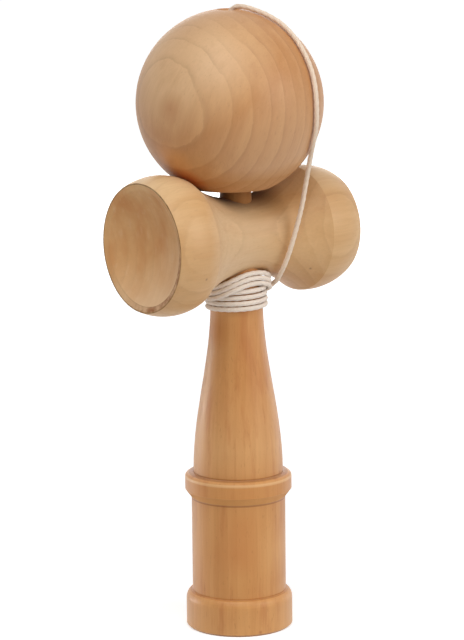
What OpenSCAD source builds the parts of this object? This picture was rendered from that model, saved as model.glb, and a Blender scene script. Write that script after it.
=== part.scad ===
// Wooden cup and ball toy of the kendama kind: a turned handle with a spike and a cup in its foot,
// cross cups pressed on the handle's spindle, a bored ball resting on the spike, and one string.
// Millimetres. +Z is up, the handle's axis is Z, the big cup opens toward -X and the foot stands on Z = 0.

/* [Handle] */
// Diameter of the base disc
base_d = 34.8; // [32:0.2:38]
// Height of the base disc's straight band
base_band_h = 8.8; // [5:0.2:10]
// Height over which the base rounds into the grip
base_round_h = 3.2; // [2:0.2:6]
// Chamfer at the foot's outer edge
foot_chamfer = 0.7; // [0.3:0.1:1.2]
// Diameter of the cup's mouth in the foot
foot_cup_d = 30.4; // [26:0.2:31]
// Diameter of the grip
grip_d = 30.6; // [27:0.2:31.5]
// Height of the grip between base and collar
grip_h = 31.2; // [20:0.2:45]
// Diameter of the collar over the grip
collar_d = 34.8; // [32.4:0.2:38]
// Height of the collar's lower bevel
collar_bevel_h = 2.8; // [1:0.2:4]
// Height of the collar's straight band
collar_band_h = 4; // [2:0.2:8]
// Height over which the collar's top edge rounds in
collar_round_h = 1.6; // [1:0.2:4]
// Diameter of the neck's foot on the collar
neck_foot_d = 29.2; // [24:0.2:31]
// Diameter of the neck's top, where the spindle starts
neck_top_d = 17; // [15:0.2:19]
// Height of the neck
neck_h = 56.4; // [45:0.2:70]
// Height from the neck's top to the cross cups' axis
cross_rise = 21; // [20:0.5:26]
// Diameter of the spike where it leaves the cross cups
spike_base_d = 10.4; // [8:0.2:12]
// Diameter of the spike's rounded tip
spike_tip_d = 5.4; // [4:0.2:7]
// Length of the spike above the cross cups' waist
spike_h = 34; // [26:0.5:40]

/* [Cross cups] */
// Length over both cups
cross_len = 75.5; // [72:0.5:84]
// Diameter of the waist
waist_d = 24.6; // [22:0.2:25.4]
// Diameter of the big cup's rim
big_rim_d = 41.2; // [38:0.2:44]
// Largest diameter of the big cup
big_belly_d = 44.8; // [43.2:0.2:48]
// Distance of the big cup's largest diameter from the handle's axis
big_belly_at = 29.6; // [28:0.2:32]
// Diameter of the big cup's shoulder, where the waist's flare ends
big_shoulder_d = 42; // [39:0.2:43]
// Distance of the big cup's shoulder from the handle's axis
big_shoulder_at = 22.8; // [21:0.2:25]
// Diameter of the small cup's rim
small_rim_d = 35; // [32:0.2:37]
// Diameter of the small cup halfway along its side
small_belly_d = 40.2; // [38.6:0.2:42]
// Distance of that halfway ring from the handle's axis
small_belly_at = 31; // [29:0.2:33]
// Diameter of the small cup's shoulder
small_shoulder_d = 40.6; // [37:0.2:42]
// Distance of the small cup's shoulder from the handle's axis
small_shoulder_at = 24.2; // [22:0.2:26]
// Radius of the round hollow in all three cups
cup_curve_r = 28; // [25:0.5:34]
// Width of the bevelled ring inside each rim
rim_bevel_w = 1.8; // [1:0.1:3]
// Depth of that bevelled ring
rim_bevel_h = 0.8; // [0.3:0.1:1.5]
// Width of the flat lip outside that ring
rim_lip_w = 0.4; // [0.2:0.1:1]
// Radial clearance of the cross cups' tapered bore on the spindle
spindle_gap = 0.08; // [0.02:0.02:0.3]

/* [Ball] */
// Diameter of the ball
ball_d = 60; // [57:0.5:64]
// How far the ball leans toward the big cup
ball_lean = 2; // [0:0.1:2.6]
// Diameter of the ball's hole for the spike
spike_hole_d = 21; // [19:0.2:23]
// Diameter of that hole's bevelled mouth
spike_mouth_d = 26; // [24:0.2:28]
// Depth of the mouth's bevel
spike_mouth_h = 2.4; // [1:0.2:4]
// Diameter of the ball's string hole
string_hole_d = 3.6; // [3:0.1:4.4]
// Diameter of the string hole's bevelled mouth
string_mouth_d = 8; // [7:0.2:10]
// Gap between the resting ball and the big cup's shoulder
seat_gap = 0.15; // [0.1:0.05:0.6]

/* [String] */
// Diameter of the string
cord_d = 1.3; // [1.1:0.05:1.5]
// Clear gap between the winding's turns
turn_gap = 0.4; // [0.4:0.02:0.6]
// Clear gap between the winding and the wood
wrap_gap = 0.25; // [0.15:0.05:0.5]
// Turns of the winding round the neck
turns = 6.9; // [4.9:1:8.9]
// Upper turns that climb over the lower ones at both sides, where the cross cups leave less room
over_turns = 3; // [0:1:4]
// Clear gap between the two layers there
over_gap = 0.6; // [0.5:0.05:0.8]
// How far the upper turns dip there
over_drop = 3.8; // [3.4:0.1:4.2]
// Rise of the upper turns in front
over_lift = 0.7; // [0.4:0.1:0.9]
// Extra gap between upper and lower turns at the front
fan_gap = 0.2; // [0.2:0.05:0.6]
// How far the highest turn reaches up beside the cross cups' waist
wind_lap = 0.3; // [0:0.1:0.6]
// Radial clearance of the string in its holes
cord_gap = 0.3; // [0.1:0.05:0.6]
// Diameter of the bead that stops the string inside the ball
bead_d = 7; // [6:0.2:9]
// Gap between the bead and the end of the ball's hole
bead_gap = 0.3; // [0.1:0.05:0.6]
// Thickness of the knots at both ends of the string
knot_h = 3.2; // [2.6:0.1:4]
// Diameter of the knots
knot_d = 4; // [3.4:0.1:4.6]
// Gap where two stretches of the string meet
splice_gap = 0.1; // [0.05:0.05:0.3]
// Gap between the spike's tip and the knot above it
tip_gap = 0.4; // [0.2:0.05:1]

/* [Hidden] */
$fn = 96;

// Heights of the handle's stations above the foot
grip_z = base_band_h + base_round_h;
collar_z = grip_z + grip_h;
band_z = collar_z + collar_bevel_h;
neck_z = band_z + collar_band_h + collar_round_h;
neck_top_z = neck_z + neck_h;
cross_z = neck_top_z + cross_rise;
spike_z = cross_z + waist_d / 2;
tip_z = spike_z + spike_h;
cross_reach = cross_len / 2;

// Points on each rounded stretch of a turned outline
curve_steps = 14;
edge_steps = 6;

// Quarter round from a straight band at p to a level step at q
function round_over(p, q, n) =
    [for (i = [0:n]) [q.x + (p.x - q.x) * cos(90 * i / n), p.y + (q.y - p.y) * sin(90 * i / n)]];

// Soft reverse curve from p to q, upright at both ends
function reverse_curve(p, q, n) =
    [for (i = [0:n]) [p.x + (q.x - p.x) * (1 - cos(180 * i / n)) / 2, p.y + (q.y - p.y) * i / n]];

// Centre of the circle through three points
function circle_centre(p, q, s) =
    let (a = q - p, b = s - p, m = 2 * (a.x * b.y - a.y * b.x))
    p + [b.y * (a * a) - a.y * (b * b), a.x * (b * b) - b.x * (a * a)] / m;

// Arc from p through q to s, running the short way
function arc_through(p, q, s, n) =
    let (c = circle_centre(p, q, s), r = norm(p - c))
    let (from = atan2(p.y - c.y, p.x - c.x), to = atan2(s.y - c.y, s.x - c.x))
    let (turn = to - from > 180 ? to - from - 360 : to - from < -180 ? to - from + 360 : to - from)
    [for (i = [0:n]) c + r * [cos(from + turn * i / n), sin(from + turn * i / n)]];

// Radius of the spindle's taper, and of the neck and spindle together, at a height
function spindle_r(z) =
    (neck_top_d + (spike_base_d - neck_top_d) * (z - neck_top_z) / (spike_z - neck_top_z)) / 2;
function neck_r(z) =
    z > neck_top_z ? spindle_r(z)
    : neck_top_d / 2 + (neck_foot_d - neck_top_d) / 2 * (1 + cos(180 * (z - neck_z) / neck_h)) / 2;

// Outline of the cross cups as [distance from the handle's axis, radius], big cup positive
small_rim = [-cross_reach, small_rim_d / 2];
small_belly = [-small_belly_at, small_belly_d / 2];
small_shoulder = [-small_shoulder_at, small_shoulder_d / 2];
waist = [0, waist_d / 2];
big_shoulder = [big_shoulder_at, big_shoulder_d / 2];
big_belly = [big_belly_at, big_belly_d / 2];
big_rim = [cross_reach, big_rim_d / 2];
cross_outline = concat(
    arc_through(small_rim, small_belly, small_shoulder, curve_steps),
    arc_through(small_shoulder, waist, big_shoulder, 2 * curve_steps),
    arc_through(big_shoulder, big_belly, big_rim, curve_steps));

// The ball rests on the outline's highest claim outside the mouth of its own hole
ball_r = ball_d / 2;
function seat_z(p) = cross_z + p.y + sqrt((ball_r + seat_gap) ^ 2 - (p.x - ball_lean) ^ 2);
ball_z = max([for (p = cross_outline) let (off = abs(p.x - ball_lean))
    if (off < ball_r && off > spike_mouth_d / 2) seat_z(p)]);
ball_at = [-ball_lean, 0, ball_z];
ball_top_z = ball_z + ball_r;

// The string's end inside the ball, stacked up from the spike's tip
bead_knot_z = tip_z + tip_gap;
bead_z = bead_knot_z + knot_h + bead_d / 2;
hole_end_z = bead_z + bead_d / 2 + bead_gap;

// The string's end inside the handle
cord_r = cord_d / 2;
knot_pocket_d = knot_d + 2 * cord_gap;
knot_face_y = -cord_gap;
side_hole_d = cord_d + 2 * cord_gap;

// Winding: turns laid one below another, from the back of the neck, clockwise seen from above
rings_per_turn = 24;
pitch = cord_d + turn_gap;
over_out = cord_d + over_gap;
wind_top_z = cross_z - waist_d / 2 + wind_lap + fan_gap;
function over(u) = u < over_turns ? 1 : 0;
function fan_step(u) = fan_gap * min(1, max(0, u - over_turns + 0.5));
function over_sink(u) = over_drop * abs(sin(360 * u)) ^ 3 - over_lift * ((1 - cos(360 * u)) / 2) ^ 2;
function wind_z(u) = wind_top_z - pitch * (u - 0.5) - fan_step(u) - over(u) * over_sink(u);
function wind_out(u) = over(u) * over_out * (1 - cos(360 * u) ^ 6);
function wind_r(u) = neck_r(wind_z(u) - cord_r) + cord_r + wrap_gap + wind_out(u);
function wind_at(u) = [wind_r(u) * sin(360 * u), wind_r(u) * cos(360 * u), wind_z(u)];
function unit(v) = v / norm(v);
wind_rings = round(turns * rings_per_turn);
wind_turns = [for (i = [0:wind_rings]) wind_at(turns * i / wind_rings)];
wind_start_way = unit(wind_turns[1] - wind_turns[0]);
wind_end_way = unit(wind_turns[wind_rings] - wind_turns[wind_rings - 1]);
wind_start = wind_turns[0] - cord_d * wind_start_way;
wind_end = wind_turns[wind_rings] + cord_d * wind_end_way;
wind_path = concat([wind_start], wind_turns, [wind_end]);
half_turn = rings_per_turn / 2;
self_gap = min([for (i = [0:wind_rings]) for (j = [i + half_turn:1:wind_rings])
    norm(wind_turns[i] - wind_turns[j])]) - cord_d;
echo(winding_least_gap_mm = self_gap);

// Tail: from the knot in the handle out of the cross cups' back, then down into the winding.
// Its points are measured from the cross cups' axis.
cross_at = [0, 0, cross_z];
tail_bend = [[0, 4, 0], [0, 8, 0], [0, 12, 0], [-0.7, 14.6, -1.2], [-2.5, 15.9, -3.6],
    [-5.4, 15.5, -6.3], [-8, 14.2, -8.6], [-9, 11.9, -10.2], [-8.1, 9.7, -11], [-6.3, 8.5, -11.1]];
tail_route = concat(
    [[0, knot_face_y, cross_z]], [for (p = tail_bend) cross_at + p],
    [for (back = [2 * cord_d, cord_d, splice_gap]) wind_start - back * wind_start_way]);

// Lead: out of the winding, up past the small cup, over the ball's side and down into its string hole.
// The first points are measured from the cross cups' axis, the next from the middle of a ball of 60 mm.
lead_rise = [[-1.1, 11.2, -22.9], [1, 11.8, -22.9], [4, 11.4, -22.6], [7.7, 9.5, -22], [10.95, 5.9, -20.8],
    [12.8, 0.6, -18.6], [12.35, -4.8, -15.6], [10.6, -9.2, -12.7], [10.1, -12.9, -8], [10.7, -15.5, -1.5],
    [12.9, -17.4, 9.3], [14.1, -18.6, 18.5]];
lead_over = [[15.3, -21.6, -16.9], [13.7, -24.7, -12.8], [13.1, -27.1, -7.4], [12.4, -28.4, -2.2], [12.2, -28.4, 2.9],
    [12.3, -27.4, 7.8], [12.1, -25.6, 12.7], [11.5, -23, 17.3], [10.7, -19.2, 21.8], [9.2, -15.1, 25.5],
    [6.9, -11.4, 28], [4.9, -8.1, 29.5], [3.3, -5.4, 30.4]];
drawn_ball_d = 60;
string_bend_r = 3.5;
string_hump = 0.75;
hole_side = [0.53, -0.85];
hole_bend = [for (a = [0:30:90]) ball_at + string_bend_r * (1 - sin(a)) * [hole_side.x, hole_side.y, 0]
    + [0, 0, ball_r + string_hump - string_bend_r * (1 - cos(a))]];
hole_depths = [4.8, 7.4, 11];
lead_route = concat(
    [for (on = [splice_gap, cord_d, 2 * cord_d]) wind_end + on * wind_end_way],
    [for (p = lead_rise) cross_at + p],
    [for (p = lead_over) ball_at + p * ball_d / drawn_ball_d],
    hole_bend,
    [for (depth = hole_depths) ball_at + [0, 0, ball_r - depth]],
    [[-ball_lean, 0, bead_knot_z + knot_h]]);
tube_sides = 8;
winding_sides = 6;

// Points on a smooth curve through a route's points
function between(a, b, c, d, t) =
    ((2 * b) + (c - a) * t + (2 * a - 5 * b + 4 * c - d) * t ^ 2 + (3 * b - a - 3 * c + d) * t ^ 3) / 2;
function smooth(route, n) = let (last = len(route) - 1) concat(
    [for (i = [0:last - 1]) for (k = [0:n - 1]) between(
        i > 0 ? route[i - 1] : 2 * route[0] - route[1], route[i], route[i + 1],
        i < last - 1 ? route[i + 2] : 2 * route[last] - route[last - 1], k / n)],
    [route[last]]);

// A tube of round section swept along a path, its section carried from ring to ring without twist
function headings(path) = let (last = len(path) - 1)
    [for (i = [0:last]) unit(path[min(i + 1, last)] - path[max(i - 1, 0)])];
function square_to(way, side) = unit(side - (side * way) * way);
module tube(path, sides) {
    ways = headings(path);
    last = len(path) - 1;
    sides_out = [for (i = 0, out = square_to(ways[0], [0.1, 0.2, 1]); i <= last;
        i = i + 1, out = i <= last ? square_to(ways[i], out) : out) out];
    rings = [for (i = [0:last]) for (k = [0:sides - 1])
        path[i] + cord_r * (cos(360 * k / sides) * sides_out[i]
            + sin(360 * k / sides) * cross(ways[i], sides_out[i]))];
    walls = [for (i = [0:last - 1]) for (k = [0:sides - 1]) let (a = i * sides + k)
        let (b = i * sides + (k + 1) % sides)
        for (face = [[a, b, b + sides], [a, b + sides, a + sides]]) face];
    ends = [for (k = [1:sides - 2])
        for (face = [[0, k + 1, k], [last * sides, last * sides + k, last * sides + k + 1]]) face];
    polyhedron(rings, [for (f = concat(walls, ends)) [f[2], f[1], f[0]]]);
}

// Handle: one turned piece from the cupped foot to the spike, bored across for the string
module ken_outline() {
    tip_r = spike_tip_d / 2;
    polygon(concat(
        [[0, 0], [base_d / 2 - foot_chamfer, 0], [base_d / 2, foot_chamfer]],
        round_over([base_d / 2, base_band_h], [grip_d / 2, grip_z], edge_steps),
        [[grip_d / 2, collar_z], [collar_d / 2, band_z]],
        round_over([collar_d / 2, band_z + collar_band_h], [neck_foot_d / 2, neck_z], edge_steps),
        reverse_curve([neck_foot_d / 2, neck_z], [neck_top_d / 2, neck_top_z], curve_steps),
        [[spike_base_d / 2, spike_z]],
        round_over([tip_r, tip_z - tip_r], [0, tip_z], edge_steps)));
}

module cup_hollow(mouth_r) {
    drop = sqrt(cup_curve_r ^ 2 - mouth_r ^ 2);
    translate([0, 0, drop]) sphere(r = cup_curve_r);
}

module ken() {
    color("peru") difference() {
        rotate_extrude() ken_outline();
        mirror([0, 0, 1]) cup_hollow(foot_cup_d / 2);
        translate([0, 0, cross_z]) rotate([90, 0, 0]) cylinder(d = knot_pocket_d, h = neck_top_d);
        translate([0, 0, cross_z]) rotate([-90, 0, 0]) cylinder(d = side_hole_d, h = neck_top_d);
    }
}

// Cross cups: one turned piece with two hollow cups, a tapered bore and the string's side hole
module rim_cut(rim_r) {
    mouth_r = rim_r - rim_lip_w - rim_bevel_w;
    translate([0, 0, -rim_bevel_h]) cup_hollow(mouth_r);
    translate([0, 0, -rim_bevel_h]) cylinder(r1 = mouth_r, r2 = mouth_r + rim_bevel_w, h = rim_bevel_h);
}

module cross_body() {
    difference() {
        rotate_extrude() polygon(concat(
            [[0, -cross_reach]], [for (p = cross_outline) [p.y, p.x]], [[0, cross_reach]]));
        translate([0, 0, cross_reach]) rim_cut(big_rim_d / 2);
        mirror([0, 0, 1]) translate([0, 0, cross_reach]) rim_cut(small_rim_d / 2);
    }
}

module cross_cups() {
    past = 4;
    bore_low = -waist_d / 2 - past;
    bore_high = waist_d / 2 + past;
    color("burlywood") translate([0, 0, cross_z]) difference() {
        rotate([0, -90, 0]) cross_body();
        translate([0, 0, bore_low]) cylinder(
            r1 = spindle_r(cross_z + bore_low) + spindle_gap,
            r2 = spindle_r(cross_z + bore_high) + spindle_gap,
            h = bore_high - bore_low);
        rotate([-90, 0, 0]) cylinder(d = side_hole_d, h = waist_d);
    }
}

// Ball: bored for the spike from below, with a bevelled mouth, and for the string from above
module ball() {
    mouth_z = ball_z - sqrt(ball_r ^ 2 - (spike_mouth_d / 2) ^ 2);
    string_mouth_z = ball_z + sqrt(ball_r ^ 2 - (string_mouth_d / 2) ^ 2);
    string_bevel_h = (string_mouth_d - string_hole_d) / 2;
    past = 5;
    color("sandybrown") difference() {
        translate(ball_at) sphere(d = ball_d);
        translate([-ball_lean, 0, mouth_z - past]) cylinder(d = spike_hole_d, h = hole_end_z - mouth_z + past);
        translate([-ball_lean, 0, mouth_z]) cylinder(d1 = spike_mouth_d, d2 = spike_hole_d, h = spike_mouth_h);
        translate([-ball_lean, 0, mouth_z - past]) cylinder(d = spike_mouth_d, h = past);
        translate([-ball_lean, 0, ball_z]) cylinder(d = string_hole_d, h = ball_d);
        translate([-ball_lean, 0, string_mouth_z - string_bevel_h])
            cylinder(d1 = string_hole_d, d2 = string_mouth_d, h = string_bevel_h);
        translate([-ball_lean, 0, string_mouth_z]) cylinder(d = string_mouth_d, h = past);
    }
}

// Bead that keeps the string's end inside the ball and lets the ball turn on it
module bead() {
    color("saddlebrown") translate([-ball_lean, 0, bead_z]) difference() {
        sphere(d = bead_d);
        cylinder(d = side_hole_d, h = 2 * bead_d, center = true);
    }
}

// Knot of two close turns round the string's end, standing on its flat face's far side
module knot() {
    lobe_r = knot_h / 4;
    rotate_extrude() union() {
        square([knot_d / 2 - lobe_r, knot_h]);
        for (z = [lobe_r, 3 * lobe_r]) translate([knot_d / 2 - lobe_r, z]) circle(r = lobe_r);
    }
}

module bead_knot() {
    color("ivory") translate([-ball_lean, 0, bead_knot_z]) knot();
}

module ken_knot() {
    color("ivory") translate([0, knot_face_y, cross_z]) rotate([90, 0, 0]) knot();
}

// The string's three stretches
module string_tail() {
    color("ivory") tube(smooth(tail_route, 2), tube_sides);
}

module string_winding() {
    color("ivory") tube(wind_path, winding_sides);
}

module string_lead() {
    color("ivory") tube(smooth(lead_route, 2), tube_sides);
}

ken();
cross_cups();
ball();
bead();
bead_knot();
ken_knot();
string_tail();
string_winding();
string_lead();
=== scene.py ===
"""Looks of a wooden cup and ball toy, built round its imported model.

The scene is in metres. The string's route and the wood are described in millimetres.
+Z is up, and the big cup opens toward -X.
"""

import math
from collections import namedtuple
from types import SimpleNamespace

import bpy
from mathutils import Matrix, Vector


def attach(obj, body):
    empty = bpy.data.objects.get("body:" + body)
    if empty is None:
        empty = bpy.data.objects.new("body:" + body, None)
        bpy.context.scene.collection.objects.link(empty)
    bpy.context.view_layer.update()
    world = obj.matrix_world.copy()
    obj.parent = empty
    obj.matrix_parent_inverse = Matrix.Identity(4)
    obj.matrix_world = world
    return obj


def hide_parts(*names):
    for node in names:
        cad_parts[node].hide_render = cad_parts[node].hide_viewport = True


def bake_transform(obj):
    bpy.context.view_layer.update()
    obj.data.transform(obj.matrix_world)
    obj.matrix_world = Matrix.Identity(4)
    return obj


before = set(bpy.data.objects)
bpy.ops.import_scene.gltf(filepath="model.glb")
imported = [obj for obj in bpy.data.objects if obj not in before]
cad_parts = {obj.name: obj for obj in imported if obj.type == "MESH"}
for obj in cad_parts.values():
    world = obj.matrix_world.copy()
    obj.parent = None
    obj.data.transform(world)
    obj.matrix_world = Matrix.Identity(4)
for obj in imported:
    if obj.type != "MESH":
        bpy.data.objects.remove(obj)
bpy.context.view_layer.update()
scene = bpy.context.scene
scene.view_settings.view_transform = "Standard"

MM = 0.001
FULL_TURN = 2 * math.pi
UPRIGHT = (0.0, 0.0, 1.0)
WHITE = (1.0, 1.0, 1.0, 1.0)


def add_object(name, data):
    """An object of the scene that shows a mesh, a lamp or a camera."""
    added = bpy.data.objects.new(name, data)
    scene.collection.objects.link(added)
    return added


# Camera, at the photograph's viewing angle
CAMERA_AT = Vector((-0.58814, -0.74751, 0.28351))
CAMERA_HEADING = math.radians(38.103)
CAMERA_TILT = math.radians(10.8345)
CAMERA_ROLL = math.radians(-0.578)
CAMERA_LENS_MM = 168.51
CAMERA_SENSOR_MM = 36.0
CAMERA_NEAR, CAMERA_FAR = 0.05, 50.0


def make_camera():
    forward = Vector((
        math.sin(CAMERA_HEADING) * math.cos(CAMERA_TILT),
        math.cos(CAMERA_HEADING) * math.cos(CAMERA_TILT),
        -math.sin(CAMERA_TILT),
    ))
    level_right = Vector((math.cos(CAMERA_HEADING), -math.sin(CAMERA_HEADING), 0.0))
    level_up = level_right.cross(forward)
    right = level_right * math.cos(CAMERA_ROLL) + level_up * math.sin(CAMERA_ROLL)
    up = right.cross(forward)
    data = bpy.data.cameras.new("photo_camera")
    data.lens = CAMERA_LENS_MM
    data.sensor_width = CAMERA_SENSOR_MM
    data.clip_start = CAMERA_NEAR
    data.clip_end = CAMERA_FAR
    camera = add_object("photo_camera", data)
    turn = Matrix((right, up, -forward)).transposed().to_4x4()
    camera.matrix_world = Matrix.Translation(CAMERA_AT) @ turn
    scene.camera = camera


make_camera()


# Nodes and finishes, with the places of a colour mix's sockets
MIX_SHARE, MIX_FIRST, MIX_SECOND, MIX_RESULT = 0, 6, 7, 2
Noise = namedtuple("Noise", "along scale detail roughness")


class NodeMaker:
    """Makes the nodes of one tree. An input takes a plain value or another node's output."""

    def __init__(self, tree):
        self.tree = tree

    def set_inputs(self, node, inputs):
        for key, value in inputs.items():
            if isinstance(value, bpy.types.NodeSocket):
                self.tree.links.new(value, node.inputs[key])
            else:
                node.inputs[key].default_value = value

    def add(self, kind, inputs=None, **settings):
        """A node with its settings, and its inputs given by name or place."""
        node = self.tree.nodes.new(kind)
        for name, value in settings.items():
            setattr(node, name, value)
        self.set_inputs(node, inputs or {})
        return node

    def calc(self, operation, *values):
        return self.add("ShaderNodeMath", dict(enumerate(values)), operation=operation).outputs[0]

    def vector_math(self, operation, values):
        return self.add("ShaderNodeVectorMath", dict(enumerate(values)), operation=operation).outputs

    def vector(self, operation, *values):
        """A vector made from vectors."""
        return self.vector_math(operation, values)["Vector"]

    def measure(self, operation, *values):
        """A number made from vectors, such as a length."""
        return self.vector_math(operation, values)["Value"]

    def spread(self, value, low, high):
        """How far a value has come from low to high, as a share."""
        return self.calc("DIVIDE", self.calc("SUBTRACT", value, low), high - low)

    def noise(self, at, kind):
        """Noise whose places along Z are multiplied by along, which draws it out where along is small."""
        drawn = self.vector("MULTIPLY", at, (1.0, 1.0, kind.along))
        inputs = {"Vector": drawn, "Scale": kind.scale, "Detail": kind.detail, "Roughness": kind.roughness}
        return self.add("ShaderNodeTexNoise", inputs).outputs["Fac"]

    def colour_ramp(self, share, *stops):
        """A colour that follows a share, by stops of share and colour."""
        node = self.add("ShaderNodeValToRGB", {"Fac": share})
        elements = node.color_ramp.elements
        elements[0].position = stops[0][0]
        elements[1].position = stops[-1][0]
        for position, _ in stops[1:-1]:
            elements.new(position)
        for element, (_, colour) in zip(elements, stops):
            element.color = colour
        return node.outputs["Color"]

    def ramp(self, share, *stops):
        """A level that follows a share, by stops of share and level."""
        return self.colour_ramp(share, *[(at, (level, level, level, 1.0)) for at, level in stops])

    def mix(self, share, first, second, blend="MIX"):
        inputs = {MIX_SHARE: share, MIX_FIRST: first, MIX_SECOND: second}
        return self.add("ShaderNodeMix", inputs, data_type="RGBA", blend_type=blend).outputs[MIX_RESULT]

    def bump(self, height, strength, depth):
        inputs = {"Height": height, "Strength": strength, "Distance": depth}
        return self.add("ShaderNodeBump", inputs).outputs["Normal"]


def new_finish(name):
    """A new material, the maker of its nodes and its shader."""
    material = bpy.data.materials.new(name)
    material.use_nodes = True
    return material, NodeMaker(material.node_tree), material.node_tree.nodes["Principled BSDF"]


def tone(red, green, blue):
    """An 8 bit colour as the linear one that a shader takes."""
    channels = []
    for value in (red, green, blue):
        share = value / 255.0
        channels.append(share / 12.92 if share <= 0.04045 else ((share + 0.055) / 1.055) ** 2.4)
    return (*channels, 1.0)


# String: its route as the solids have it, with the lower turns lifted a little more in front
NECK_Z, NECK_TOP_Z, CROSS_Z, SPIKE_Z = 51.6, 108.0, 129.0, 141.3
NECK_FOOT_D, NECK_TOP_D, SPIKE_BASE_D, WAIST_D = 29.2, 17.0, 10.4, 24.6
CROSS_AT = Vector((0.0, 0.0, CROSS_Z))
BALL_AT = Vector((-2.0, 0.0, 172.165))
BALL_R = 30.0
SOLID_CORD_D = 1.3
TURN_PITCH = 1.7
TURNS = 6.9
RINGS_PER_TURN = 24
OVER_TURNS = 3
OVER_OUT = 1.9
OVER_DROP = 3.8
OVER_LIFT = 0.7
UNDER_LIFT = 0.5
FAN_GAP = 0.2
WIND_LAP = 0.3
WIND_TOP_Z = CROSS_Z - WAIST_D / 2 + WIND_LAP + FAN_GAP
WRAP_GAP = 0.25
KNOT_FACE_Z = 178.9
KNOT_FACE_Y = -0.3
BEND_R = 3.5
BEND_HUMP = 0.75
HOLE_SIDE = Vector((0.53, -0.85, 0.0))
HOLE_DEPTHS = (4.8, 7.4, 11)
CURVE_STEPS = 4

# Points of the tail and of the lead's rise, from the middle of the cross cups
TAIL_BEND = (
    (0, KNOT_FACE_Y, 0), (0, 4, 0), (0, 8, 0), (0, 12, 0), (-0.7, 14.6, -1.2), (-2.5, 15.9, -3.6),
    (-5.4, 15.5, -6.3), (-8, 14.2, -8.6), (-9, 11.9, -10.2), (-8.1, 9.7, -11), (-6.3, 8.5, -11.1),
)
LEAD_RISE = (
    (-1.1, 11.2, -22.9), (1, 11.8, -22.9), (4, 11.4, -22.6), (7.7, 9.5, -22), (10.95, 5.9, -20.8),
    (12.8, 0.6, -18.6), (12.35, -4.8, -15.6), (10.6, -9.2, -12.7), (10.1, -12.9, -8), (10.7, -15.5, -1.5),
    (12.9, -17.4, 9.3), (14.1, -18.6, 18.5),
)
# Points of the lead's way over the ball, from the ball's middle
LEAD_OVER = (
    (15.3, -21.6, -16.9), (13.7, -24.7, -12.8), (13.1, -27.1, -7.4), (12.4, -28.4, -2.2), (12.2, -28.4, 2.9),
    (12.3, -27.4, 7.8), (12.1, -25.6, 12.7), (11.5, -23, 17.3), (10.7, -19.2, 21.8), (9.2, -15.1, 25.5),
    (6.9, -11.4, 28), (4.9, -8.1, 29.5), (3.3, -5.4, 30.4),
)


def neck_radius(z):
    if z > NECK_TOP_Z:
        return (NECK_TOP_D + (SPIKE_BASE_D - NECK_TOP_D) * (z - NECK_TOP_Z) / (SPIKE_Z - NECK_TOP_Z)) / 2
    wave = (1 + math.cos(math.pi * (z - NECK_Z) / (NECK_TOP_Z - NECK_Z))) / 2
    return NECK_TOP_D / 2 + (NECK_FOOT_D - NECK_TOP_D) / 2 * wave


def winding_point(u):
    """The string's place after u turns round the neck, from its back, clockwise seen from above."""
    angle = FULL_TURN * u
    over = 1.0 if u < OVER_TURNS else 0.0
    z = WIND_TOP_Z - TURN_PITCH * (u - 0.5)
    z -= FAN_GAP * min(1.0, max(0.0, u - OVER_TURNS + 0.5))
    in_front = ((1 - math.cos(angle)) / 2) ** 2
    z -= over * (OVER_DROP * abs(math.sin(angle)) ** 3 - OVER_LIFT * in_front)
    z += (1 - over) * UNDER_LIFT * in_front * max(0.0, 1 - (u - OVER_TURNS) / OVER_TURNS)
    radius = neck_radius(z - SOLID_CORD_D / 2) + SOLID_CORD_D / 2 + WRAP_GAP
    radius += over * OVER_OUT * (1 - math.cos(angle) ** 6)
    return Vector((radius * math.sin(angle), radius * math.cos(angle), z))


def smooth_curve(points):
    """Points on a smooth curve through a route's points."""
    ends = [2 * points[0] - points[1], *points, 2 * points[-1] - points[-2]]
    curve = []
    for a, b, c, d in zip(ends, ends[1:], ends[2:], ends[3:]):
        for step in range(CURVE_STEPS):
            t = step / CURVE_STEPS
            curve.append((
                2 * b + (c - a) * t + (2 * a - 5 * b + 4 * c - d) * t ** 2
                + (3 * b - a - 3 * c + d) * t ** 3
            ) / 2)
    return [*curve, points[-1]]


def hole_bend():
    """The string's bend over the edge of the ball's string hole."""
    points = []
    for degrees in (0, 30, 60, 90):
        angle = math.radians(degrees)
        lift = Vector((0, 0, BALL_R + BEND_HUMP - BEND_R * (1 - math.cos(angle))))
        points.append(BALL_AT + BEND_R * (1 - math.sin(angle)) * HOLE_SIDE + lift)
    return points


def string_route():
    """The whole string, from the knot in the handle by tail, winding and lead to the knot in the ball."""
    rings = round(TURNS * RINGS_PER_TURN)
    winding = [winding_point(TURNS * i / rings) for i in range(rings + 1)]
    start_step = SOLID_CORD_D * (winding[1] - winding[0]).normalized()
    end_step = SOLID_CORD_D * (winding[-1] - winding[-2]).normalized()
    tail = [CROSS_AT + Vector(point) for point in TAIL_BEND]
    tail += [winding[0] - steps * start_step for steps in (3, 2, 1)]
    lead = [winding[-1] + steps * end_step for steps in (1, 2, 3)]
    lead += [CROSS_AT + Vector(point) for point in LEAD_RISE]
    lead += [BALL_AT + Vector(point) for point in LEAD_OVER]
    lead += hole_bend()
    lead += [BALL_AT + Vector((0, 0, BALL_R - depth)) for depth in HOLE_DEPTHS]
    lead.append(Vector((BALL_AT.x, BALL_AT.y, KNOT_FACE_Z)))
    return smooth_curve(tail) + winding + smooth_curve(lead)


# Knots, each set in from the face that it is drawn against
KNOT_WIDTH, KNOT_HEIGHT = 2.5, 1.7
KNOT_SET_IN = 1.6
KNOT_POINTS = 73


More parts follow.
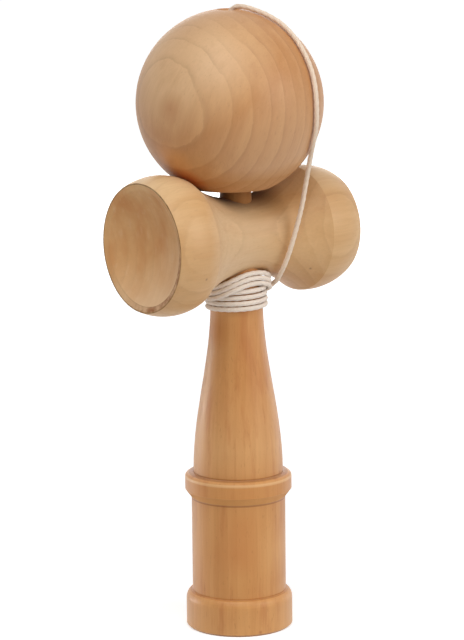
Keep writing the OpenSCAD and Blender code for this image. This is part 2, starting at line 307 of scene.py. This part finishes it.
def knot_route(middle, along_z):
    """A tight overhand knot: a trefoil pressed into the solid's place, its string along Z or else along Y."""
    points = []
    for i in range(KNOT_POINTS):
        t = FULL_TURN * i / KNOT_POINTS
        x = (math.sin(t) + 2 * math.sin(2 * t)) / 3 * KNOT_WIDTH / 2
        y = (math.cos(t) - 2 * math.cos(2 * t)) / 3 * KNOT_WIDTH / 2
        z = -math.sin(3 * t) * KNOT_HEIGHT / 2
        points.append(middle + Vector((x, y, z) if along_z else (x, z, y)))
    return points


# Laid cord
CORD_INPUTS = (
    ("Path", "Geometry"), ("Radius", "Float"), ("Lay", "Float"), ("Step", "Float"), ("Relief", "Float"),
    ("Plies", "Int"), ("Sides", "Int"), ("Finish", "Material"),
)


def keep_value(make, geometry, name, value, data_type):
    """The geometry with a value kept at its points, under a name."""
    inputs = {"Geometry": geometry, "Name": name, "Value": value}
    node = make.add("GeometryNodeStoreNamedAttribute", inputs, data_type=data_type, domain="POINT")
    return node.outputs["Geometry"]


def laid_cord_tree():
    """Geometry nodes that sweep a lobed section along a path and turn it as they go, as plies are laid."""
    tree = bpy.data.node_groups.new("laid_cord", "GeometryNodeTree")
    for name, kind in CORD_INPUTS:
        tree.interface.new_socket(name, in_out="INPUT", socket_type="NodeSocket" + kind)
    tree.interface.new_socket("Cord", in_out="OUTPUT", socket_type="NodeSocketGeometry")
    make = NodeMaker(tree)
    given = make.add("NodeGroupInput").outputs

    # The path, in equal steps, turned by one round for each lay length
    line = make.add("GeometryNodeMeshToCurve", {"Mesh": given["Path"]}).outputs["Curve"]
    inputs = {"Curve": line, "Length": given["Step"]}
    line = make.add("GeometryNodeResampleCurve", inputs, mode="LENGTH").outputs["Curve"]
    along = make.add("GeometryNodeSplineParameter").outputs["Length"]
    turn = make.calc("MULTIPLY", make.calc("DIVIDE", along, given["Lay"]), FULL_TURN)
    line = make.add("GeometryNodeSetCurveTilt", {"Curve": line, "Tilt": turn}).outputs["Curve"]
    line = keep_value(make, line, "along", along, "FLOAT")

    # The section, with one lobe for each ply
    inputs = {"Resolution": given["Sides"], "Radius": 1.0}
    section = make.add("GeometryNodeCurvePrimitiveCircle", inputs, mode="RADIUS").outputs["Curve"]
    angle = make.calc("MULTIPLY", make.add("GeometryNodeSplineParameter").outputs["Factor"], FULL_TURN)
    lobes = make.calc("COSINE", make.calc("MULTIPLY", angle, given["Plies"]))
    swell = make.calc("ADD", make.calc("MULTIPLY", make.calc("SUBTRACT", lobes, 1.0), given["Relief"]), 1.0)
    size = make.calc("MULTIPLY", swell, given["Radius"])
    place = make.add("GeometryNodeInputPosition").outputs["Position"]
    lobed = make.add("ShaderNodeVectorMath", {0: place, "Scale": size}, operation="SCALE").outputs["Vector"]
    section = keep_value(make, section, "around", place, "FLOAT_VECTOR")
    inputs = {"Geometry": section, "Position": lobed}
    section = make.add("GeometryNodeSetPosition", inputs).outputs["Geometry"]

    # The sweep
    inputs = {"Curve": line, "Profile Curve": section, "Fill Caps": True}
    cord = make.add("GeometryNodeCurveToMesh", inputs).outputs["Mesh"]
    cord = make.add("GeometryNodeSetShadeSmooth", {"Geometry": cord}).outputs["Geometry"]
    cord = make.add("GeometryNodeRealizeInstances", {"Geometry": cord}).outputs["Geometry"]
    inputs = {"Geometry": cord, "Material": given["Finish"]}
    cord = make.add("GeometryNodeSetMaterial", inputs).outputs["Geometry"]
    make.add("NodeGroupOutput", {"Cord": cord})
    return tree


def laid_cord(name, tree, points, inputs):
    """A cord along points, as one plain mesh. The tree's inputs are given by name."""
    path = bpy.data.meshes.new(name + "_path")
    path.from_pydata(points, [(i, i + 1) for i in range(len(points) - 1)], [])
    carrier = add_object(name + "_path", path)
    modifier = carrier.modifiers.new("laid", "NODES")
    modifier.node_group = tree
    sockets = {item.name: item.identifier for item in tree.interface.items_tree if item.in_out == "INPUT"}
    for key, value in inputs.items():
        modifier[sockets[key]] = value
    graph = bpy.context.evaluated_depsgraph_get()
    mesh = bpy.data.meshes.new_from_object(
        carrier.evaluated_get(graph), preserve_all_data_layers=True, depsgraph=graph)
    bpy.data.objects.remove(carrier)
    mesh.name = name
    return add_object(name, mesh)


def in_metres(route):
    return [tuple(point * MM) for point in route]


# Yarn, with a lead that hands have yellowed from this length of string on
LEAD_FROM = 0.475
LEAD_FADE = 0.03
YARN_DARK, YARN_LIGHT = tone(237, 218, 200), tone(252, 241, 228)
LEAD_TINT = tone(255, 246, 235)
YARN_FIBRES = Noise(420.0, 5.0, 4.0, 0.6)
YARN_RELIEF = 0.1 * MM


def string_finish():
    """Off-white twisted yarn with fine fibres along it, yellowed by hands on the lead."""
    material, make, shader = new_finish("string_yarn")
    along = make.add("ShaderNodeAttribute", attribute_name="along").outputs["Fac"]
    around = make.add("ShaderNodeAttribute", attribute_name="around").outputs["Vector"]
    across = make.add("ShaderNodeSeparateXYZ", {0: around}).outputs
    fibre_at = make.add("ShaderNodeCombineXYZ", {"X": across["X"], "Y": across["Y"], "Z": along}).outputs[0]
    fibres = make.noise(fibre_at, YARN_FIBRES)
    yarn = make.colour_ramp(fibres, (0.3, YARN_DARK), (0.7, YARN_LIGHT))
    inputs = {"Value": along, "From Min": LEAD_FROM, "From Max": LEAD_FROM + LEAD_FADE}
    handled = make.add("ShaderNodeMapRange", inputs).outputs["Result"]
    make.set_inputs(shader, {
        "Base Color": make.mix(handled, yarn, LEAD_TINT, "MULTIPLY"),
        "Roughness": 0.85,
        "Specular IOR Level": 0.2,
        "Sheen Weight": 0.4,
        "Sheen Roughness": 0.5,
        "Normal": make.bump(fibres, 0.35, YARN_RELIEF),
    })
    return material


STRING_D = 1.6 * MM
STRING_LAID = {
    "Radius": STRING_D / 2, "Lay": 7.5 * MM, "Step": 0.35 * MM, "Relief": 0.05, "Plies": 3, "Sides": 24,
    "Finish": string_finish(),
}
KNOT_LAID = {**STRING_LAID, "Radius": 0.7 * MM, "Lay": 6 * MM}
cord_tree = laid_cord_tree()
string_points = in_metres(string_route())
string = laid_cord("string", cord_tree, string_points, STRING_LAID)
bead_knot_at = Vector((BALL_AT.x, BALL_AT.y, KNOT_FACE_Z - KNOT_SET_IN))
bead_knot = laid_cord("bead_knot_tied", cord_tree, in_metres(knot_route(bead_knot_at, True)), KNOT_LAID)
ken_knot_at = Vector((0.0, KNOT_FACE_Y - KNOT_SET_IN, CROSS_Z))
ken_knot = laid_cord("ken_knot_tied", cord_tree, in_metres(knot_route(ken_knot_at, False)), KNOT_LAID)


# Wood. Its noise is drawn out along the fibres
SLOW_WAVES = Noise(0.35, 0.045, 2.0, 0.5)
SHORT_WAVES = Noise(0.5, 0.5, 4.0, 0.6)
LINE_FADING = Noise(0.6, 0.09, 2.0, 0.5)
CLOUDS = Noise(0.4, 0.05, 2.0, 0.5)
STREAKS = Noise(0.06, 0.25, 2.0, 0.5)
FIBRES = Noise(0.03, 1.5, 4.0, 0.6)
FLAMES = Noise(0.1, 0.3, 4.0, 0.6)
PORES = Noise(0.25, 1.8, 1.0, 0.5)
BLUSHES = Noise(0.5, 0.13, 3.0, 0.5)
FLECKS = Noise(0.22, 0.7, 2.0, 0.5)
MOTTLE_NOISE = Noise(1.0, 0.45, 3.0, 0.6)

CLOUD_SHARE, STREAK_SHARE = 0.6, 0.4
ZONE_WANDER = 10.0

# Oil, which the wood has lost where it is bare, and the relief of the grain
OIL_SHINE, OIL_COAT = 0.4, 0.22
OIL_ROUGHNESS, SHEEN_ROUGHNESS = 0.42, 0.45
LINE_RELIEF, PORE_RELIEF = 0.4, 0.6
GRAIN_STRENGTH, GRAIN_RELIEF = 0.2, 0.12 * MM

# A hollow is part of a sphere, and its rim goes by the distance from the sphere's middle
Dish = namedtuple("Dish", "middle bevel_end lip_end")
DISH_R = 28.0
RIM_FROM, RIM_TO = 27.0, 29.5
EDGE_FADE = 0.04
LIP_FADE = 0.08
HOLLOW_BARE = 0.7

# The way up a hollow, from its part that is painted paler low down, and the way to the side where a rim is
# darker, over the rim's radius
PALE_WAY, PALE_REACH, PALE_WANDER = (0.0, 0.4, 1.0), 20.0, 12.0
RIM_DARK_WAY = (0.0, -0.035, -0.035)

BIG_DISH = Dish((-58.055, 0.0, CROSS_Z), 28.64, 28.92)
SMALL_DISH = Dish((60.4, 0.0, CROSS_Z), 28.38, 28.62)
FOOT_DISH = Dish((0.0, 0.0, -23.52), 28.15, 28.2)

# Sapwood, and zones of painted light and painted shade, come in along a way. A patch has its share of a tint
# within near and none from far on, and a ring within a part of its half width and none beyond that half. Matt
# is the oil that either has lost
SapwoodAndLight = namedtuple("SapwoodAndLight", "way stops tint")
Ring = namedtuple("Ring", "height half share matt tint")
Patch = namedtuple("Patch", "middle near far share matt tint")
RING_FULL = 0.6


def grain_turn(fibre, layer):
    """The turn that takes the fibres' way to Z and the growth layers' normal to X."""
    z_axis = Vector(fibre).normalized()
    x_axis = Vector(layer)
    x_axis = (x_axis - x_axis.dot(z_axis) * z_axis).normalized()
    y_axis = z_axis.cross(x_axis)
    return Matrix((x_axis, y_axis, z_axis))


def wood_places(make, wood):
    """The place in millimetres, and the same turned to the grain: X across the layers, Z along the fibres."""
    turn = grain_turn(wood["fibre"], wood["layer"])
    metres = make.add("ShaderNodeTexCoord").outputs["Object"]
    place = make.vector("MULTIPLY", metres, (1 / MM, 1 / MM, 1 / MM))
    inputs = {"Vector": place, "Location": -(turn @ Vector(wood["middle"])), "Rotation": turn.to_euler("XYZ")}
    return place, make.add("ShaderNodeMapping", inputs).outputs["Vector"]


def growth_layers(make, grain, wood):
    """Levels of the bands and lines of growth layers round a far pith, bent by slow and short waves."""
    across = make.vector("MULTIPLY", grain, (1.0, 1.0, 0.0))
    depth = make.measure("LENGTH", make.vector("ADD", across, (wood["pith"], 0.0, 0.0)))
    for waves, reach in ((SLOW_WAVES, wood["wander"]), (SHORT_WAVES, wood["ripple"])):
        depth = make.calc("ADD", depth, make.calc("MULTIPLY", make.noise(grain, waves), reach))
    year = make.calc("FRACT", make.calc("DIVIDE", depth, wood["spacing"]))
    band = make.ramp(year, (0.0, 0.0), (0.9, 1.0), (1.0, 0.0))
    line = make.ramp(year, (0.72, 0.0), (0.88, 0.5), (0.95, 1.0), (0.98, 0.9), (1.0, 0.0))
    fading = make.ramp(make.noise(grain, LINE_FADING), (0.36, 0.15), (0.6, 1.0))
    return band, make.calc("MULTIPLY", line, fading)


def wood_figure(make, grain, wood):
    """The levels that the wood's tone, gloss and relief follow."""
    band, line = growth_layers(make, grain, wood)
    return SimpleNamespace(
        band=band,
        line=line,
        cloud=make.noise(grain, CLOUDS),
        streaks=make.noise(grain, STREAKS),
        fibres=make.noise(grain, FIBRES),
        flame=make.ramp(make.noise(grain, FLAMES), (0.52, 0.0), (0.72, 1.0)),
        pores=make.ramp(make.noise(grain, PORES), (0.66, 0.0), (0.74, 1.0)),
    )


def wood_colour(make, place, figure, wood):
    """The colour of the wood before wear: slow tone, sapwood and painted light and shade, growth lines,
    flames, pores and fibres.
    """
    deep = make.calc("MULTIPLY", figure.cloud, CLOUD_SHARE)
    deep = make.calc("ADD", deep, make.calc("MULTIPLY", figure.streaks, STREAK_SHARE))
    deep = make.calc("ADD", deep, make.calc("MULTIPLY", figure.band, wood["band_share"]))
    colour = make.mix(make.ramp(deep, (0.36, 0.0), (0.7, 1.0)), wood["pale"], wood["deep"])
    for zone in wood["sapwood_and_light"]:
        reach = make.measure("DOT_PRODUCT", place, zone.way)
        reach = make.calc("ADD", reach, make.calc("MULTIPLY", figure.cloud, ZONE_WANDER))
        low, high = zone.stops[0][0], zone.stops[-1][0]
        stops = [((at - low) / (high - low), level) for at, level in zone.stops]
        colour = make.mix(make.ramp(make.spread(reach, low, high), *stops), colour, zone.tint)
    colour = make.mix(make.calc("MULTIPLY", figure.line, wood["line_share"]), colour, wood["line"])
    colour = make.mix(make.calc("MULTIPLY", figure.flame, wood["flame_share"]), colour, wood["flame"])
    colour = make.mix(make.calc("MULTIPLY", figure.pores, wood["pore_share"]), colour, wood["line"])
    fibres = make.ramp(figure.fibres, (0.3, 0.72), (0.7, 1.0))
    return make.mix(wood["fibre_share"], colour, fibres, "MULTIPLY")


def rim_level(make, out, *stops):
    """A level that follows the way out over a rim, by stops of distance and level."""
    return make.ramp(out, *[((at - RIM_FROM) / (RIM_TO - RIM_FROM), level) for at, level in stops])


def hollow_colour(make, place, inside, dish, colour, figure, wood):
    """The colour with a hollow's end grain, paler low down as painted light and with its tint kept to the
    upper part as painted shade, with a blush above and pale flecks.
    """
    # Painted light and shade: paler low down, where the hollow faces up, and its end-grain tint kept to the
    # upper part
    rise = make.measure("DOT_PRODUCT", place, PALE_WAY)
    rise = make.calc("ADD", rise, make.calc("MULTIPLY", figure.cloud, PALE_WANDER))
    height = dish.middle[2]
    high = make.ramp(make.spread(rise, height - PALE_REACH, height + PALE_REACH), (0.2, 0.0), (0.7, 1.0))
    pale = make.ramp(high, (0.0, 0.6), (1.0, 0.36))
    colour = make.mix(make.calc("MULTIPLY", inside, pale), colour, wood["end_fleck_and_lit"])
    upper = make.calc("MULTIPLY", inside, high)
    colour = make.mix(upper, colour, wood["end_grain_and_shade_tint"], "MULTIPLY")
    blush = make.ramp(make.noise(place, BLUSHES), (0.44, 0.0), (0.68, 0.6))
    colour = make.mix(make.calc("MULTIPLY", upper, blush), colour, wood["end_blush"])
    flecks = make.ramp(make.noise(place, FLECKS), (0.58, 0.0), (0.75, 0.22))
    return make.mix(make.calc("MULTIPLY", inside, flecks), colour, wood["end_fleck_and_lit"])


def wear_hollow(make, place, dish, colour, figure, wood):
    """The colour with a hollow and its rim, darker at the rim and most on one side, and where they are bare.
    """
    out = make.spread(make.measure("DISTANCE", place, dish.middle), RIM_FROM, RIM_TO)
    bevel, lip = dish.bevel_end, dish.lip_end
    inside = rim_level(make, out, (bevel - EDGE_FADE, 1.0), (bevel, 0.0))
    colour = hollow_colour(make, place, inside, dish, colour, figure, wood)

    # The bevel and the crease inside it, darker toward one side
    away = make.vector("SUBTRACT", place, dish.middle)
    side = make.spread(make.measure("DOT_PRODUCT", away, RIM_DARK_WAY), -1.0, 1.0)
    mottle = make.noise(place, MOTTLE_NOISE)
    edge = rim_level(
        make, out, (DISH_R + 0.03, 0.0), (DISH_R + 0.06, 1.0), (DISH_R + 0.1, 0.9),
        (bevel - EDGE_FADE, 0.9), (bevel, 0.0))
    edge = make.calc("MULTIPLY", edge, make.ramp(mottle, (0.38, 0.3), (0.62, 1.0)))
    edge = make.calc("MULTIPLY", edge, make.ramp(side, (0.63, 0.0), (0.92, 1.0)))
    colour = make.mix(edge, colour, wood["rim"])
    crease = rim_level(
        make, out, (DISH_R + 0.02, 0.0), (DISH_R + 0.05, 0.3), (DISH_R + 0.09, 0.3), (DISH_R + 0.13, 0.0))
    crease = make.calc("MULTIPLY", crease, make.ramp(side, (0.4, 0.0), (0.7, 1.0)))
    colour = make.mix(crease, colour, wood["lip"])

    # The lip, all round
    edge = rim_level(make, out, (bevel - EDGE_FADE, 0.0), (bevel, 0.9), (lip, 0.9), (lip + LIP_FADE, 0.0))
    edge = make.calc("MULTIPLY", edge, make.ramp(mottle, (0.36, 0.6), (0.6, 1.0)))
    bare = make.calc("MAXIMUM", make.calc("MULTIPLY", inside, HOLLOW_BARE), edge)
    return make.mix(edge, colour, wood["lip"]), bare


def marks_and_painted_light(make, place, wood):
    """Each ring round the axis and each round patch, after the level that it has at a place. Some are real
    marks, and some are painted light and painted shade.
    """
    for ring in wood["rings"]:
        height = make.measure("DOT_PRODUCT", place, UPRIGHT)
        off = make.calc("ABSOLUTE", make.calc("SUBTRACT", height, ring.height))
        away = make.spread(off, RING_FULL * ring.half, ring.half)
        yield make.ramp(away, (0.0, 1.0), (1.0, 0.0)), ring
    for patch in wood["patches"]:
        away = make.spread(make.measure("DISTANCE", place, patch.middle), patch.near, patch.far)
        yield make.ramp(away, (0.0, 1.0), (1.0, 0.0)), patch


def oil_levels(make, bare_levels):
    """The oil's shine and coat, which are less where a level says that the wood is bare."""
    levels = {"Specular IOR Level": OIL_SHINE, "Coat Weight": OIL_COAT}
    if not bare_levels:
        return levels
    bare = bare_levels[0]
    for level in bare_levels[1:]:
        bare = make.calc("MAXIMUM", bare, level)
    oiled = make.calc("SUBTRACT", 1.0, bare)
    return {socket: make.calc("MULTIPLY", oiled, level) for socket, level in levels.items()}


def turned_wood(name, wood):
    """Oiled beech with its figure, its wear, and painted light and shade.

    wood holds tones by name, the ways of its fibres and growth layers, the sizes of its figure, the share of
    each part of the figure in the colour, and its sapwood and painted light, hollows, rings and patches.
    """
    material, make, shader = new_finish(name)
    place, grain = wood_places(make, wood)
    figure = wood_figure(make, grain, wood)
    colour = wood_colour(make, place, figure, wood)
    bare_levels = []
    for dish in wood["dishes"]:
        colour, bare = wear_hollow(make, place, dish, colour, figure, wood)
        bare_levels.append(bare)
    for level, mark in marks_and_painted_light(make, place, wood):
        colour = make.mix(make.calc("MULTIPLY", level, mark.share), colour, mark.tint)
        if mark.matt:
            bare_levels.append(make.calc("MULTIPLY", level, mark.matt))
    raised = make.calc("ADD", figure.fibres, make.calc("MULTIPLY", figure.line, LINE_RELIEF))
    raised = make.calc("SUBTRACT", raised, make.calc("MULTIPLY", figure.pores, PORE_RELIEF))
    make.set_inputs(shader, {
        **oil_levels(make, bare_levels),
        "Base Color": colour,
        "Roughness": make.ramp(figure.fibres, (0.3, 0.58), (0.7, 0.44)),
        "Coat Roughness": OIL_ROUGHNESS,
        "Sheen Weight": wood["sheen"],
        "Sheen Roughness": SHEEN_ROUGHNESS,
        "Normal": make.bump(raised, GRAIN_STRENGTH, GRAIN_RELIEF),
    })
    return material


BALL_SPECK = tone(172, 104, 50)
CUP_SPECK = tone(128, 78, 40)
# Painted shade for the saddle beside the spike, under the ball
SADDLE_PAINTED_SHADE = tone(84, 28, 4)
GRIP_STREAK = tone(194, 118, 54)

BALL_WOOD = {
    "pale": tone(214, 160, 105), "deep": tone(196, 137, 81),
    "line": tone(146, 92, 50), "flame": tone(180, 118, 66),
    "fibre": (0.1, -0.35, 0.93), "layer": (-0.98, -0.16, 0.11), "middle": BALL_AT, "pith": 140.0,
    "spacing": 4.6, "wander": 5.0, "ripple": 0.7,
    "band_share": 0.2, "line_share": 0.22, "flame_share": 0.15, "pore_share": 0.15, "fibre_share": 0.2,
    "sheen": 0.05,
    "sapwood_and_light": (
        # Painted highlight: a paler zone on the upper left, where the top lamp's soft highlight falls
        SapwoodAndLight((-0.745, -0.221, 0.634), ((133.0, 0.0), (144.0, 0.7)), tone(234, 195, 149)),
        SapwoodAndLight((0.02, -0.85, -0.53), ((-68.0, 0.0), (-56.0, 0.55)), tone(208, 164, 122)),
        # Painted shade: darker at the ball's top, where the top lamp lights it most
        SapwoodAndLight(UPRIGHT, ((198.0, 0.0), (206.0, 0.35)), tone(192, 136, 86)),
    ),
    "dishes": (),
    "rings": (),
    "patches": (
        # Matt where the ball rubs the cups, and a little darker there as painted shade
        Patch(CROSS_AT, 29.0, 35.0, 0.1, 1.0, BALL_SPECK),
        # Painted light on the ball's lower left
        Patch((-27.0, -3.0, 156.0), 2.0, 8.0, 0.6, 0.0, tone(230, 162, 94)),
        # Painted warm shade where the ball comes near the big cup, matt there too
        Patch((-21.0, -3.0, 149.0), 2.0, 7.0, 0.8, 0.7, tone(212, 114, 42)),
        # Painted shade inside the ball's hole, over the spike, matt there too
        Patch((-2.0, 0.0, 149.0), 12.2, 13.4, 0.6, 1.0, tone(90, 45, 20)),
        Patch((-31.2, -7.2, 173.4), 0.6, 6.0, 0.4, 0.0, BALL_SPECK),
    ),
}
CROSS_WOOD = {
    "pale": tone(223, 180, 127), "deep": tone(209, 160, 105),
    "line": tone(140, 90, 48), "flame": tone(194, 128, 70),
    "rim": tone(146, 82, 28), "lip": tone(146, 104, 60),
    "end_grain_and_shade_tint": tone(255, 243, 225), "end_fleck_and_lit": tone(236, 202, 164), "end_blush": tone(204, 136, 78),
    "fibre": (1.0, 0.05, 0.03), "layer": (0.05, -1.0, 0.12), "middle": CROSS_AT, "pith": 90.0,
    "spacing": 3.4, "wander": 4.0, "ripple": 0.9,
    "band_share": 0.1, "line_share": 0.1, "flame_share": 0.16, "pore_share": 0.1, "fibre_share": 0.2,
    "sheen": 0.04,
    "sapwood_and_light": (
        # Painted light: the waist is paler, most on the flank beside the big cup, which faces the right lamp
        SapwoodAndLight((1.0, 0.0, 0.0), ((-22.0, 0.0), (-14.0, 0.75), (0.0, 0.6), (16.0, 0.0)), tone(226, 192, 150)),
        # Painted light: the cups are paler on top, where the top lamp falls
        SapwoodAndLight(UPRIGHT, ((148.0, 0.0), (154.0, 0.75)), tone(240, 206, 158)),
    ),
    "dishes": (BIG_DISH, SMALL_DISH),
    "rings": (),
    "patches": (
        # Matt where the ball rubs the cups, and darker there as painted shade under the ball
        Patch(BALL_AT, 33.0, 40.0, 0.15, 1.0, CUP_SPECK),
        # Painted shade on the saddle either side of the spike, where the ball hangs over it, matt there too
        Patch((6.0, 0.0, 142.5), 3.5, 11.0, 0.65, 1.0, SADDLE_PAINTED_SHADE),
        Patch((-6.0, 0.0, 142.5), 3.5, 11.0, 0.65, 1.0, SADDLE_PAINTED_SHADE),
        Patch((-28.1, -20.7, 120.8), 0.06, 0.6, 0.6, 0.0, CUP_SPECK),
        Patch((20.0, -13.3, 117.8), 0.06, 0.6, 0.6, 0.0, CUP_SPECK),
    ),
}
KEN_WOOD = {
    "pale": tone(217, 156, 90), "deep": tone(200, 133, 67),
    "line": tone(146, 84, 36), "flame": tone(184, 104, 46),
    "rim": tone(150, 92, 42), "lip": tone(112, 70, 34),
    "end_grain_and_shade_tint": tone(220, 196, 170), "end_fleck_and_lit": tone(217, 156, 90), "end_blush": tone(190, 118, 60),
    "fibre": (0.02, 0.01, 1.0), "layer": (0.8, -0.6, 0.0), "middle": (0.0, 0.0, 80.0), "pith": 60.0,
    "spacing": 3.0, "wander": 3.0, "ripple": 0.9,
    "band_share": 0.06, "line_share": 0.06, "flame_share": 0.5, "pore_share": 0.16, "fibre_share": 0.15,
    "sheen": 0.24,
    "sapwood_and_light": (
        # Painted light: paler toward the foot, standing in for light from the floor
        SapwoodAndLight(UPRIGHT, ((4.0, 0.6), (20.0, 0.0)), tone(228, 172, 108)),
        SapwoodAndLight(UPRIGHT, ((50.0, 0.0), (66.0, 0.35), (92.0, 0.0)), tone(232, 182, 124)),
    ),
    "dishes": (FOOT_DISH,),
    "rings": (
        # Painted shade on the spike under the ball, also matt
        Ring(140.0, 11.0, 0.45, 0.8, tone(110, 52, 18)),
        # Painted contact shade along the foot's bottom edge, also a little matt
        Ring(0.0, 0.7, 0.35, 0.3, tone(130, 84, 48)),
        # Painted shade in the crease where the neck meets the collar
        Ring(51.6, 0.4, 0.42, 0.5, tone(120, 72, 36)),
        # Painted highlight along the collar's top edge
        Ring(50.2, 0.5, 0.5, 0.0, tone(240, 196, 140)),
        Ring(47.6, 2.8, 0.35, 0.0, tone(200, 126, 56)),
        # Painted light on the chamfer under the collar, which is matt
        Ring(44.7, 1.6, 0.6, 1.0, tone(234, 172, 108)),
        # Painted shadow line below the collar's chamfer
        Ring(43.1, 0.35, 0.5, 0.5, tone(150, 90, 64)),
        # Painted shade in the crease where the grip meets the foot
        Ring(12.0, 0.35, 0.25, 0.5, tone(140, 84, 44)),
    ),
    "patches": (
        # Painted shade on the neck's left, under the cups and the winding, also a little matt
        Patch((-8.8, 0.0, 99.0), 2.0, 7.0, 0.4, 0.5, tone(196, 122, 62)),
        # Painted light on the grip's right side
        Patch((5.0, -14.5, 27.0), 2.0, 10.0, 0.4, 0.0, tone(232, 176, 112)),
        Patch((-9.6, -11.9, 27.0), 1.0, 9.0, 0.5, 0.0, GRIP_STREAK),
        Patch((-8.6, -12.6, 36.0), 1.0, 8.0, 0.4, 0.0, GRIP_STREAK),
        Patch((-4.6, -16.7, 1.3), 0.08, 0.8, 0.5, 0.0, tone(160, 70, 34)),
    ),
}
BEAD_WOOD = {
    **KEN_WOOD, "pale": tone(176, 128, 84), "deep": tone(150, 104, 64), "middle": (-2.0, 0.0, 182.4),
    "sapwood_and_light": (), "dishes": (), "rings": (), "patches": (),
}


def finish_node(node, material):
    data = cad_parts[node].data
    data.materials.clear()
    data.materials.append(material)


finish_node("ball", turned_wood("ball_beech", BALL_WOOD))
finish_node("cross_cups", turned_wood("cross_beech", CROSS_WOOD))
finish_node("ken", turned_wood("ken_beech", KEN_WOOD))
finish_node("bead", turned_wood("bead_beech", BEAD_WOOD))


# Floor, world and lamps
FLOOR_HALF = 6.0
FLOOR_TONE = (0.76, 0.76, 0.76, 1.0)
GLOW_NEAR, GLOW_FAR = 0.57, 0.83
GLOW_FROM, GLOW_TO = 0.4, 0.9
WORLD_LEVEL = 0.26
TOY_MIDDLE = (0.0, 0.0, 0.11)


def seen_share(make):
    """1 for rays from the camera, from gloss or through glass, and 0 for those that light the object."""
    path = make.add("ShaderNodeLightPath").outputs
    seen = make.calc("MAXIMUM", path["Is Camera Ray"], path["Is Glossy Ray"])
    return make.calc("MAXIMUM", seen, path["Is Transmission Ray"])


def make_floor():
    half = FLOOR_HALF
    mesh = bpy.data.meshes.new("floor")
    corners = [(-half, -half, 0), (half, -half, 0), (half, half, 0), (-half, half, 0)]
    mesh.from_pydata(corners, [], [(0, 1, 2, 3)])
    floor = add_object("floor", mesh)
    material, make, shader = new_finish("pale_floor")
    # The glow is less near the toy, where the lamps light the floor, so that its shadow stays
    reach = make.measure("LENGTH", make.add("ShaderNodeTexCoord").outputs["Object"])
    inputs = {
        "Value": reach, "From Min": GLOW_FROM, "From Max": GLOW_TO, "To Min": GLOW_NEAR, "To Max": GLOW_FAR}
    glow = make.add("ShaderNodeMapRange", inputs).outputs["Result"]
    make.set_inputs(shader, {
        "Base Color": FLOOR_TONE,
        "Roughness": 0.9,
        "Specular IOR Level": 0.0,
        "Emission Color": WHITE,
        "Emission Strength": make.calc("MULTIPLY", seen_share(make), glow),
    })
    mesh.materials.append(material)


def make_world():
    world = bpy.data.worlds.new("studio")
    scene.world = world
    world.use_nodes = True
    make = NodeMaker(world.node_tree)
    more = make.calc("MULTIPLY", seen_share(make), 1.0 - WORLD_LEVEL)
    strength = make.calc("ADD", more, WORLD_LEVEL)
    make.set_inputs(world.node_tree.nodes["Background"], {"Color": WHITE, "Strength": strength})


def make_lamp(name, at, size, power, aim=TOY_MIDDLE, spread=180.0):
    data = bpy.data.lights.new(name, "AREA")
    data.shape = "DISK"
    data.size = size
    data.energy = power
    data.spread = math.radians(spread)
    lamp = add_object(name, data)
    lamp.location = at
    lamp.rotation_euler = (Vector(aim) - Vector(at)).to_track_quat("-Z", "Y").to_euler()


make_floor()
make_world()
make_lamp("softbox_top", (-0.50, -0.40, 1.08), 1.0, 6.9)
make_lamp("softbox_right", (0.40, -0.90, 0.52), 0.7, 4.0)
make_lamp("softbox_back", (0.62, 0.79, 0.30), 0.6, 2.0)
make_lamp("grid_left_back", (-0.21, 0.44, 0.045), 0.16, 0.019, aim=(0.0, 0.0, 0.025), spread=17.0)
make_lamp("grid_right_back", (0.48, 0.02, 0.045), 0.16, 0.005, aim=(0.0, 0.0, 0.03), spread=16.0)


# Bodies and cord
LEAD_START, LEAD_END = (0.0115, -0.0150, 0.1240), (0.0105, -0.0284, 0.1750)
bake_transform(string)
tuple(LEAD_START)
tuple(LEAD_END)
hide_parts("string_tail", "string_winding", "string_lead")
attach(bead_knot, "string_end")
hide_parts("bead_knot")
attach(ken_knot, "handle")
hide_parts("ken_knot")
string_length = sum((Vector(b) - Vector(a)).length for a, b in zip(string_points, string_points[1:]))
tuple(string_points[0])
